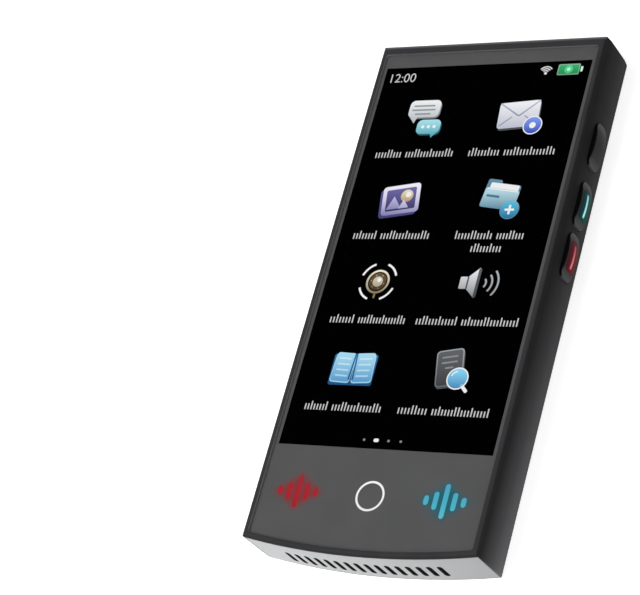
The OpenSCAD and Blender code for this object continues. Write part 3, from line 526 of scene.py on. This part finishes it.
# Clock digits
bpy.ops.object.text_add(location=(-25.75 / 1000, 53.0 / 1000, level(0.5) / 1000))
clock = bpy.context.object.data
clock.body = "12:00"
clock.size = 0.0034
clock.extrude = layer / 2000
clock.offset = -0.00002
bpy.ops.object.convert(target="MESH")
bpy.ops.object.mode_set(mode="EDIT")
join("clock_digits", [close_up("clock", soft_white)])

# Signal arcs
signal = [dot(15.7, 53.85, 0.34, 0, white, 20)]
signal += [arc(15.7, 53.85, radius, 0.24, 37, 106, 0, white) for radius in (0.72, 1.24, 1.76)]
join("signal_arcs", signal)

# Charge sign: a cell with its tip and a bright round mark
green = lit("picture_green", "188042", "30b06a", reach=(53.0, 56.0))
pale_green = lit("picture_pale_green", "6f9a80", "8ab49c", reach=(53.0, 56.2))
glow_green = lit("picture_glow_green", "38c87c", "58dc98", reach=(53.0, 56.2))
mint = lit("picture_mint", "b4f4cc", "d8f8ec", reach=(53.0, 56.2))
cell_x, cell_y = 21.35, 54.65
join("charge_sign", [
    patch(cell_x, cell_y, (5.5, 2.9), 0.35, 0, pale_green),
    patch(cell_x, cell_y, (4.9, 2.3), 0.2, 1, green),
    dot(cell_x, cell_y, 1.05, 2, glow_green, 28),
    dot(cell_x, cell_y, 0.42, 3, mint, 24),
    patch(24.6, cell_y, (0.55, 1.4), 0.2, 0, mint),
])

# Two speech bubbles
column, row = left, 43.1
pale = lit("bubble_pale", "b4bcc2", "f4f6f8", reach=(-1, 5))
pale_side = lit("bubble_side", "70787f", "88929a", reach=(-1, 5))
water = lit("bubble_cyan", "4aa6b8", "b4ecf4", reach=(-5, 0))
water_side = lit("bubble_cyan_side", "185866", "207082", reach=(-5, 0))
bubbles = [
    patch(-0.1, 1.9, (8.2, 4.6), 1.3, 0, pale_side),
    patch(-0.4, 2.3, (8.2, 4.6), 1.3, 1, pale),
    patch(-0.4, 4.1, (5.8, 0.3), 0.14, 2, white),
    dot(-2.6, -0.4, 1.2, 1, pale, 3, turn=-50),
    patch(2.2, -3.0, (6.2, 3.8), 1.3, 2, water_side),
    patch(1.9, -2.6, (6.2, 3.8), 1.3, 3, water),
    dot(3.4, -4.6, 1.0, 3, water, 3, turn=-70),
]
for n, length in enumerate((5.6, 6.2, 4.2)):
    bubbles.append(patch(-0.6, 3.1 - 1.1 * n, (length, 0.4), 0.18, 2, grey))
bubbles += [dot(1.9 + 1.5 * n, -2.6, 0.42, 4, white, 16) for n in (-1, 0, 1)]
join("bubble_picture", bubbles)

# A letter in its cover, with a round mark
column, row = right, 43.1
sky = lit("mark_blue", "2c48b4", "86a4f8", reach=(-5, 0))
paper = lit("letter_paper", "b8bccc", "f6f6fa", reach=(-4, 4))
fold = lit("letter_fold", "8288a4", "c4c8dc", reach=(-1, 4))
join("letter_picture", [
    patch(-0.2, -0.5, (10.2, 6.8), 0.8, 0, dark_grey, 4),
    patch(-0.5, 0.0, (10.2, 6.8), 0.8, 1, paper, 4),
    patch(-3.1, 1.3, (6.2, 0.4), 0.15, 2, fold, -33),
    patch(1.9, 1.6, (6.2, 0.4), 0.15, 2, fold, 41),
    patch(-3.5, -1.8, (3.8, 0.25), 0.1, 2, fold, 40),
    patch(2.6, -1.4, (3.8, 0.25), 0.1, 2, fold, -34),
    dot(3.7, -3.0, 2.4, 5, sky, 36),
    dot(3.7, -3.0, 2.4, 6, white, 36, line=0.25),
    dot(3.7, -3.0, 0.8, 6, white, 24),
])

# A picture in its frame
column, row = left, 21.3
lilac = lit("frame_lilac", "6c68a4", "cfcbe8", "f4f2fc", reach=(-4.5, 4.5))
lilac_side = lit("frame_side", "3c3870", "5a5690", reach=(-5, 3))
dusk = lit("frame_dusk", "2f2b58", "6a65a4", reach=(-3, 3))
hill = lit("frame_hill", "7f7bb0", "c4c0e4", reach=(-3, 1))
sand = lit("picture_sand", "a88a58", "f4e8c8", reach=(-1, 3))
join("framed_picture", [
    patch(-0.5, -0.7, (9.6, 7.6), 0.9, 0, lilac_side, 8),
    patch(0, 0, (9.6, 7.6), 0.9, 1, lilac, 8),
    patch(0, 0, (7.6, 5.6), 0.4, 2, dusk, 8),
    dot(1.4, 0.9, 1.6, 3, sand, 32),
    dot(1.7, 1.2, 0.7, 4, white, 24),
    dot(-1.5, -1.45, 2.2, 4, hill, 3, turn=8),
    dot(1.1, -1.55, 1.5, 5, lilac, 3, turn=8),
    patch(-0.5, 3.3, (6.8, 0.3), 0.14, 2, white, 8),
])

# A folder with a round badge
column, row = right, 21.3
steel = lit("folder_back", "2c5468", "5f8ea4", reach=(-3, 4))
steel_front = lit("folder_front", "4a8098", "b4d8e4", reach=(-3, 2))
badge = lit("folder_badge", "0e689a", "5ccaec", reach=(-5, 0))
join("folder_picture", [
    patch(0.2, 0.6, (8.8, 6.4), 0.6, 0, steel, -8),
    patch(-1.9, 4.1, (3.6, 1.6), 0.5, 0, steel, -8),
    patch(0.6, 1.6, (7.4, 4.2), 0.3, 1, white, -8),
    patch(0.2, -0.1, (8.8, 5.0), 0.6, 2, steel_front, -8),
    patch(0.5, 2.1, (8.0, 0.24), 0.1, 3, white, -8),
    patch(-1.6, 0.6, (3.4, 0.6), 0.2, 3, steel, -8),
    dot(3.4, -2.9, 2.4, 3, badge, 36),
    dot(3.4, -2.9, 2.4, 4, steel_front, 36, line=0.25),
    patch(3.4, -2.9, (2.4, 0.55), 0.2, 4, white),
    patch(3.4, -2.9, (0.55, 2.4), 0.2, 4, white),
])

# A dial between four arcs
column, row = left, 0.1
cream = lit("dial_cream", "7f6c48", "f0e8d0", reach=(-3, 3))
brown = lit("dial_brown", "2c2010", "6c5434", reach=(-3, 3))
dial = [arc(0, 0, 4.6, 0.5, 20 + 90 * n, 50, 0, white) for n in range(4)]
dial += [
    dot(0, 0, 3.0, 0, cream, 40, line=0.5),
    dot(0, 0, 2.2, 0, brown, 36),
    dot(0, 0, 1.3, 1, cream, 32),
    dot(0.3, 0.4, 0.5, 2, white, 20),
    patch(0, -3.6, (0.5, 1.2), 0.2, 0, cream),
]
for n in range(1, 7):
    dial.append(patch(1.75 * math.cos(n), 1.75 * math.sin(n), (0.24, 0.24), 0.1, 1, cream))
join("dial_picture", dial)

# A loudspeaker, whose horn is a card drawn wider at its right-hand end
column, row = right, 0.1
silver = lit("horn_silver", "6c7074", "f0f2f4", reach=(-4, 4))
silver_side = lit("horn_side", "3c4044", "5c6064", reach=(-4, 4))
ash = lit("horn_ash", "989c9f", "b0b4b7", reach=(-4, 4))
horn_place = ((column - 1.1) / 1000, row / 1000, level(0) / 1000)
bpy.ops.mesh.primitive_plane_add(size=0.001, location=horn_place)
bpy.context.object.scale = (2.4, 3.0, 1)
bpy.ops.object.transform_apply(location=False, rotation=False, scale=True)
bpy.ops.object.mode_set(mode="EDIT")
bpy.ops.mesh.select_all(action="DESELECT")
bpy.ops.object.mode_set(mode="OBJECT")
for corner in bpy.context.object.data.vertices:
    corner.select = corner.co.x > 0
bpy.ops.object.mode_set(mode="EDIT")
bpy.ops.transform.resize(value=(1, 2.5, 1))
bpy.ops.mesh.select_all(action="SELECT")
thicken(layer)
speaker = [
    close_up("horn", silver),
    patch(-3.3, 0, (1.9, 3.0), 0.3, 0, silver),
    patch(-2.3, 0, (0.4, 3.0), 0.1, 1, silver_side),
    patch(0.2, 0, (0.7, 7.2), 0.3, 1, silver_side),
]
speaker += [arc(0.8, 0, radius, 0.45, -42, 84, 0, ash) for radius in (1.5, 3.0, 4.5)]
join("loudspeaker_picture", speaker)

# An open book
column, row = left, -21.4
azure = lit("book_azure", "1c80c4", "b4e8fa", reach=(-5, 5))
page_edge = lit("book_edge", "8cc8e4", "d8f2fc", reach=(-5, 5))
navy = lit("book_cover", "0c4472", "1f74ac", reach=(-5, 5))
book = [patch(0, -0.5, (11.2, 7.6), 0.5, 0, navy)]
for side in (-1, 1):
    lean = side * 3
    book += [
        patch(side * 2.65, -0.2, (5.2, 7.0), 0.7, 1, page_edge, lean),
        patch(side * 2.6, 0.1, (5.0, 7.0), 0.7, 2, azure, lean),
        patch(side * 0.35, 0.2, (0.4, 6.4), 0.15, 3, navy, lean),
    ]
    for n in range(4):
        book.append(patch(side * 2.7, 2.2 - 1.4 * n, (3.2, 0.4), 0.15, 3, page_edge, lean))
join("book_picture", book)

# A magnifier over a sheet
column, row = right, -21.4
lens = lit("lens_blue", "1466a8", "8cdcfc", reach=(-5, 1))
sheet_edge = lit("sheet_edge", "54585c", "a0a4a8", reach=(-5, 5))
sheet_face = lit("sheet_face", "2c2e32", "5c6064", reach=(-5, 5))
magnifier = [
    patch(-0.8, 0.4, (6.6, 8.8), 0.9, 0, dark_grey, 10),
    patch(-1.1, 0.8, (6.6, 8.8), 0.9, 1, sheet_edge, 10),
    patch(-1.1, 0.8, (6.0, 8.2), 0.7, 2, sheet_face, 10),
    patch(3.6, -4.0, (0.8, 2.4), 0.3, 3, white, 45),
    dot(1.5, -1.7, 2.4, 3, lens, 40),
    dot(1.5, -1.7, 2.65, 4, white, 40, line=0.3),
    arc(1.5, -1.7, 1.7, 0.3, 100, 60, 4, white),
]
for n, length in enumerate((3.8, 3.8, 2.0)):
    magnifier.append(patch(-1.6 + 0.2 * n, 3.4 - 1.3 * n, (length, 0.4), 0.15, 3, grey, 10))
join("magnifier_picture", magnifier)


# ---- Cover glass ----------------------------------------------------------------------
# Clear toughened glass with polished edges, glued over the film. It mirrors a little and hides
# nothing. The small window over the camera is of the same glass.

clear_glass, tree, shader, point = surface("cover_clear", 0.03, shine=0.0)
shader.inputs["Base Color"].default_value = tone("101114")
shader.inputs["Alpha"].default_value = 0.03
roughen(tree, shader, noise(tree, point, 0.02), 0.004, 0.1)
dress(clear_glass, "cover_glass", "camera_window")


# ---- Side keys ------------------------------------------------------------------------
# Three crowned caps of dark moulding in the right-hand wall, each on a plunger and a switch. Two
# have a lit insert with a bright line, a painted highlight, along its middle. Their faces have
# painted highlights at the ends, and their flanks are painted black as shade.

key_z = 5.9
power_y, teal_y, red_y = 37.6, 22.6, 9.8


def key_moulding(name, middle):
    """Satin face with painted highlights towards its rounded ends, and painted shade: a black
    flank towards the screen and a dark upper edge along its middle.
    """
    finish, tree, shader, point = surface(name, 0.42, shine=0.1)
    spot, look = axes(tree, point), facing(tree)
    from_middle = sums(tree, "SUBTRACT", spot["Y"], middle)
    # Painted highlights: the face is painted lighter towards both rounded ends
    face = ramp(
        tree, spread(tree, from_middle, -5.5, 5.5),
        [(0.0, "5c5c5e"), (0.22, "38383a"), (0.5, "2e2e30"), (0.78, "38383a"), (0.95, "5c5c5e")],
    )
    # Painted shade: the flank towards the screen and the upper edge of the middle are painted near
    # black
    waist = spread(tree, sums(tree, "ABSOLUTE", from_middle), 3.0, 4.2, 1.0, 0.0)
    shaded = sums(tree, "MULTIPLY", waist, spread(tree, spot["Z"], 7.9, 8.5))
    dark = sums(tree, "MAXIMUM", shaded, spread(tree, look["Z"], 0.3, 0.6))
    tree.links.new(blended(tree, dark, face, "060606"), shader.inputs["Base Color"])
    roughen(tree, shader, noise(tree, point, 8.0), 0.008)
    return finish


def strip_glow(name, low_code, high_code, highlight_codes, middle):
    """A tinted insert, deeper towards the screen, with a painted highlight: a pale line that fades
    at both ends.
    """
    finish, tree, shader, point = surface(name, 0.3, shine=0.05)
    spot = axes(tree, point)
    from_line = sums(tree, "SUBTRACT", spot["Z"], key_z)
    from_middle = sums(tree, "SUBTRACT", spot["Y"], middle)
    insert = blended(tree, spread(tree, from_line, 1.6, -1.6), high_code, low_code)
    # Painted highlight: a pale line along the middle of the insert, fading at both ends
    stops = [(i / (len(highlight_codes) - 1), code) for i, code in enumerate(highlight_codes)]
    line = ramp(tree, spread(tree, from_middle, -3.1, 3.1), stops)
    across = spread(tree, sums(tree, "ABSOLUTE", from_line), 0.22, 0.5, 1.0, 0.0)
    ends = spread(tree, sums(tree, "ABSOLUTE", from_middle), 2.5, 3.0, 1.0, 0.0)
    colour = blended(tree, sums(tree, "MULTIPLY", across, ends), insert, line)
    tree.links.new(colour, shader.inputs["Base Color"])
    tree.links.new(colour, shader.inputs["Emission Color"])
    shader.inputs["Emission Strength"].default_value = 0.45
    return finish


dress(key_moulding("power_satin", power_y), "power_button")
dress(key_moulding("teal_talk_satin", teal_y), "teal_talk_button")
dress(key_moulding("red_talk_satin", red_y), "red_talk_button")
teal_painted_highlight, red_painted_highlight = ("aaf0e6", "a0e4ea", "8cccd8"), ("d08088", "c46a72", "9a4850")
dress(strip_glow("strip_teal", "06463c", "032a32", teal_painted_highlight, teal_y), "teal_light_strip")
dress(strip_glow("strip_red", "641418", "480a12", red_painted_highlight, red_y), "red_light_strip")
nylon = moulded("plunger_nylon", "ded9cc", "e8e4d8", 0.4, grain=3.0)
dress(nylon, "power_plunger", "teal_plunger", "red_plunger")
switch_metal = moulded("switch_metal", "a8aaae", "b8babe", 0.3, grain=5.0, metal=0.9)
dress(switch_metal, "power_switch", "teal_switch", "red_switch")


# ---- Boards ---------------------------------------------------------------------------
# Main board and lower board with their chips, plugs and gold-plated microphones, all soldered on.
# Cans of tinned sheet are pressed over the processor and the radio.

chip_resin = moulded("chip_resin", "161617", "1e1e20", 0.55, grain=7.0)
dress(chip_resin, "processor_chip", "memory_chip", "radio_chip")
tinned = moulded("can_tin", "b4b6b8", "c6c8ca", 0.28, grain=1.5, depth=0.004, metal=1.0)
dress(tinned, "processor_shield", "radio_shield")
dress(moulded("plug_black", "1a1a1b", "242426", 0.5), "board_plugs", "port_tongue")
gold_plate = moulded("capsule_gold", "b8954c", "cfae66", 0.3, grain=3.0, metal=1.0)
dress(gold_plate, "top_microphone", "bottom_microphone")


# ---- Charging port --------------------------------------------------------------------
# A drawn steel shell with rounded ends, soldered to the main board and let into the top end. The
# tongue in its middle is the same black moulding as the plugs.

port_steel = moulded("port_steel", "a4a6aa", "b6b8bc", 0.25, grain=10.0, depth=0.002, metal=1.0)
dress(port_steel, "port_shell")


# ---- Camera and flash -----------------------------------------------------------------
# A black module with a tapered barrel looks out of the back through a clear window, which sits in
# a turned and anodised ring. The flash has a lens of its own, with fine rings against glare.

dress(moulded("camera_black", "0c0c0d", "141415", 0.4), "camera_module", "camera_barrel")

lens_y = 49.8
for name, node, rough, metal, lens_x, scale, dark, light, depth in (
    ("ring_turned", "camera_ring", 0.28, 0.9, 13.5, 2.5, "6a6d70", "787b7e", 0.004),
    ("flash_rings", "flash_lens", 0.18, 0.0, 3.5, 1.0, "d8d4c0", "f0eee4", 0.06),
):
    finish, tree, shader, point = surface(name, rough, metal)
    centred = tree.nodes.new("ShaderNodeMapping")
    centred.inputs["Location"].default_value = (-lens_x, -lens_y, 0)
    tree.links.new(point, centred.inputs["Vector"])
    rings = waves(tree, centred.outputs["Vector"], scale, "RINGS", "Z")
    tree.links.new(ramp(tree, rings, [(0.0, dark), (1.0, light)]), shader.inputs["Base Color"])
    roughen(tree, shader, rings, depth)
    dress(finish, node)


# ---- Battery --------------------------------------------------------------------------
# A pouch of dull metal foil, a little uneven over the cell inside it. A pad of white adhesive tape
# holds it to the middle plate.

dress(moulded("pouch_foil", "3c4046", "4a4e54", 0.3, grain=1.0, depth=0.02, metal=0.5), "battery")
dress(moulded("tape_white", "dcdcd8", "e8e8e4", 0.55, grain=4.0), "battery_tape")


# ---- Speaker and microphone seat ------------------------------------------------------
# A black moulded speaker box with its driver in a plated frame, sealed to the wall behind the
# slots by a foam gasket. The bottom microphone sits in a boot of soft rubber.

dress(moulded("box_black", "1b1b1c", "242425", 0.5), "speaker_box")
dress(moulded("driver_plate", "a8946a", "b8a478", 0.35, grain=2.0, metal=0.8), "speaker_driver")
dress(moulded("gasket_foam", "202020", "2c2c2c", 0.9, grain=4.0, depth=0.08), "speaker_gasket")
dress(moulded("boot_rubber", "1e1e1e", "262626", 0.75, grain=5.0), "microphone_boot")


# ---- Back cover -----------------------------------------------------------------------
# A moulding of the same dark nylon that snaps on from behind. Its grain is slightly coarser than
# the frame's, for grip.

dress(moulded("cover_nylon", "28282a", "2d2d2f", 0.55, grain=3.5, depth=0.03), "back_cover")


# ---- Table, light and camera ----------------------------------------------------------
# The object lies on a white table in a white room, under two wide soft lamps. The lift of the
# table shows to the camera, through glass and in gloss alone, so it puts no light on the object.

bpy.ops.mesh.primitive_plane_add(size=6, location=(0, 0, -0.0001))
table = bpy.context.object
table.name = "table"
table_white = bpy.data.materials.new("table_white")
table_white.use_nodes = True
tree = table_white.node_tree
tree.nodes.remove(tree.nodes["Principled BSDF"])
paint = tree.nodes.new("ShaderNodeBsdfDiffuse")
paint.inputs["Color"].default_value = (0.86, 0.86, 0.86, 1)
lift = tree.nodes.new("ShaderNodeEmission")
seen = tree.nodes.new("ShaderNodeLightPath").outputs
straight = sums(tree, "MULTIPLY", seen["Is Camera Ray"], 0.72)
through = sums(tree, "MULTIPLY", seen["Is Transmission Ray"], 0.72)
in_gloss = sums(tree, "MULTIPLY", seen["Is Glossy Ray"], 0.2)
glow = sums(tree, "ADD", sums(tree, "ADD", straight, through), in_gloss)
tree.links.new(glow, lift.inputs["Strength"])
both = tree.nodes.new("ShaderNodeAddShader")
tree.links.new(paint.outputs[0], both.inputs[0])
tree.links.new(lift.outputs[0], both.inputs[1])
tree.links.new(both.outputs[0], tree.nodes["Material Output"].inputs["Surface"])
table.data.materials.append(table_white)

room = bpy.data.worlds.new("white_room")
bpy.context.scene.world = room
room.use_nodes = True
tree = room.node_tree
seen = tree.nodes.new("ShaderNodeLightPath").outputs
shown = sums(tree, "MAXIMUM", seen["Is Camera Ray"], seen["Is Transmission Ray"])
shown = sums(tree, "MAXIMUM", shown, seen["Is Glossy Ray"])
tree.links.new(spread(tree, shown, 0.0, 1.0, 0.35), tree.nodes["Background"].inputs["Strength"])
tree.nodes["Background"].inputs["Color"].default_value = (1, 1, 1, 1)

for name, place, turn, size, watts in (
    ("window_lamp", (-0.45, -0.35, 0.8), (26, -28, 0), 0.7, 6.0),
    ("fill_lamp", (0.28, -0.34, 0.12), (75, 0, 41), 0.25, 0.35),
):
    turned = [math.radians(angle) for angle in turn]
    bpy.ops.object.light_add(type="AREA", location=place, rotation=turned)
    lamp = bpy.context.object
    lamp.name = name
    lamp.data.size = size
    lamp.data.energy = watts
    lamp.visible_glossy = False

bpy.ops.object.camera_add(
    location=(0.2547, -0.20478, 0.40706),
    rotation=[math.radians(angle) for angle in (31.5186, 28.0722, 17.0520)],
)
camera = bpy.context.object
camera.data.lens = 130.0645
camera.data.sensor_width = 36
camera.data.sensor_fit = "HORIZONTAL"
camera.data.clip_start = 0.02
bpy.context.scene.camera = camera
bpy.context.scene.view_settings.view_transform = "Standard"
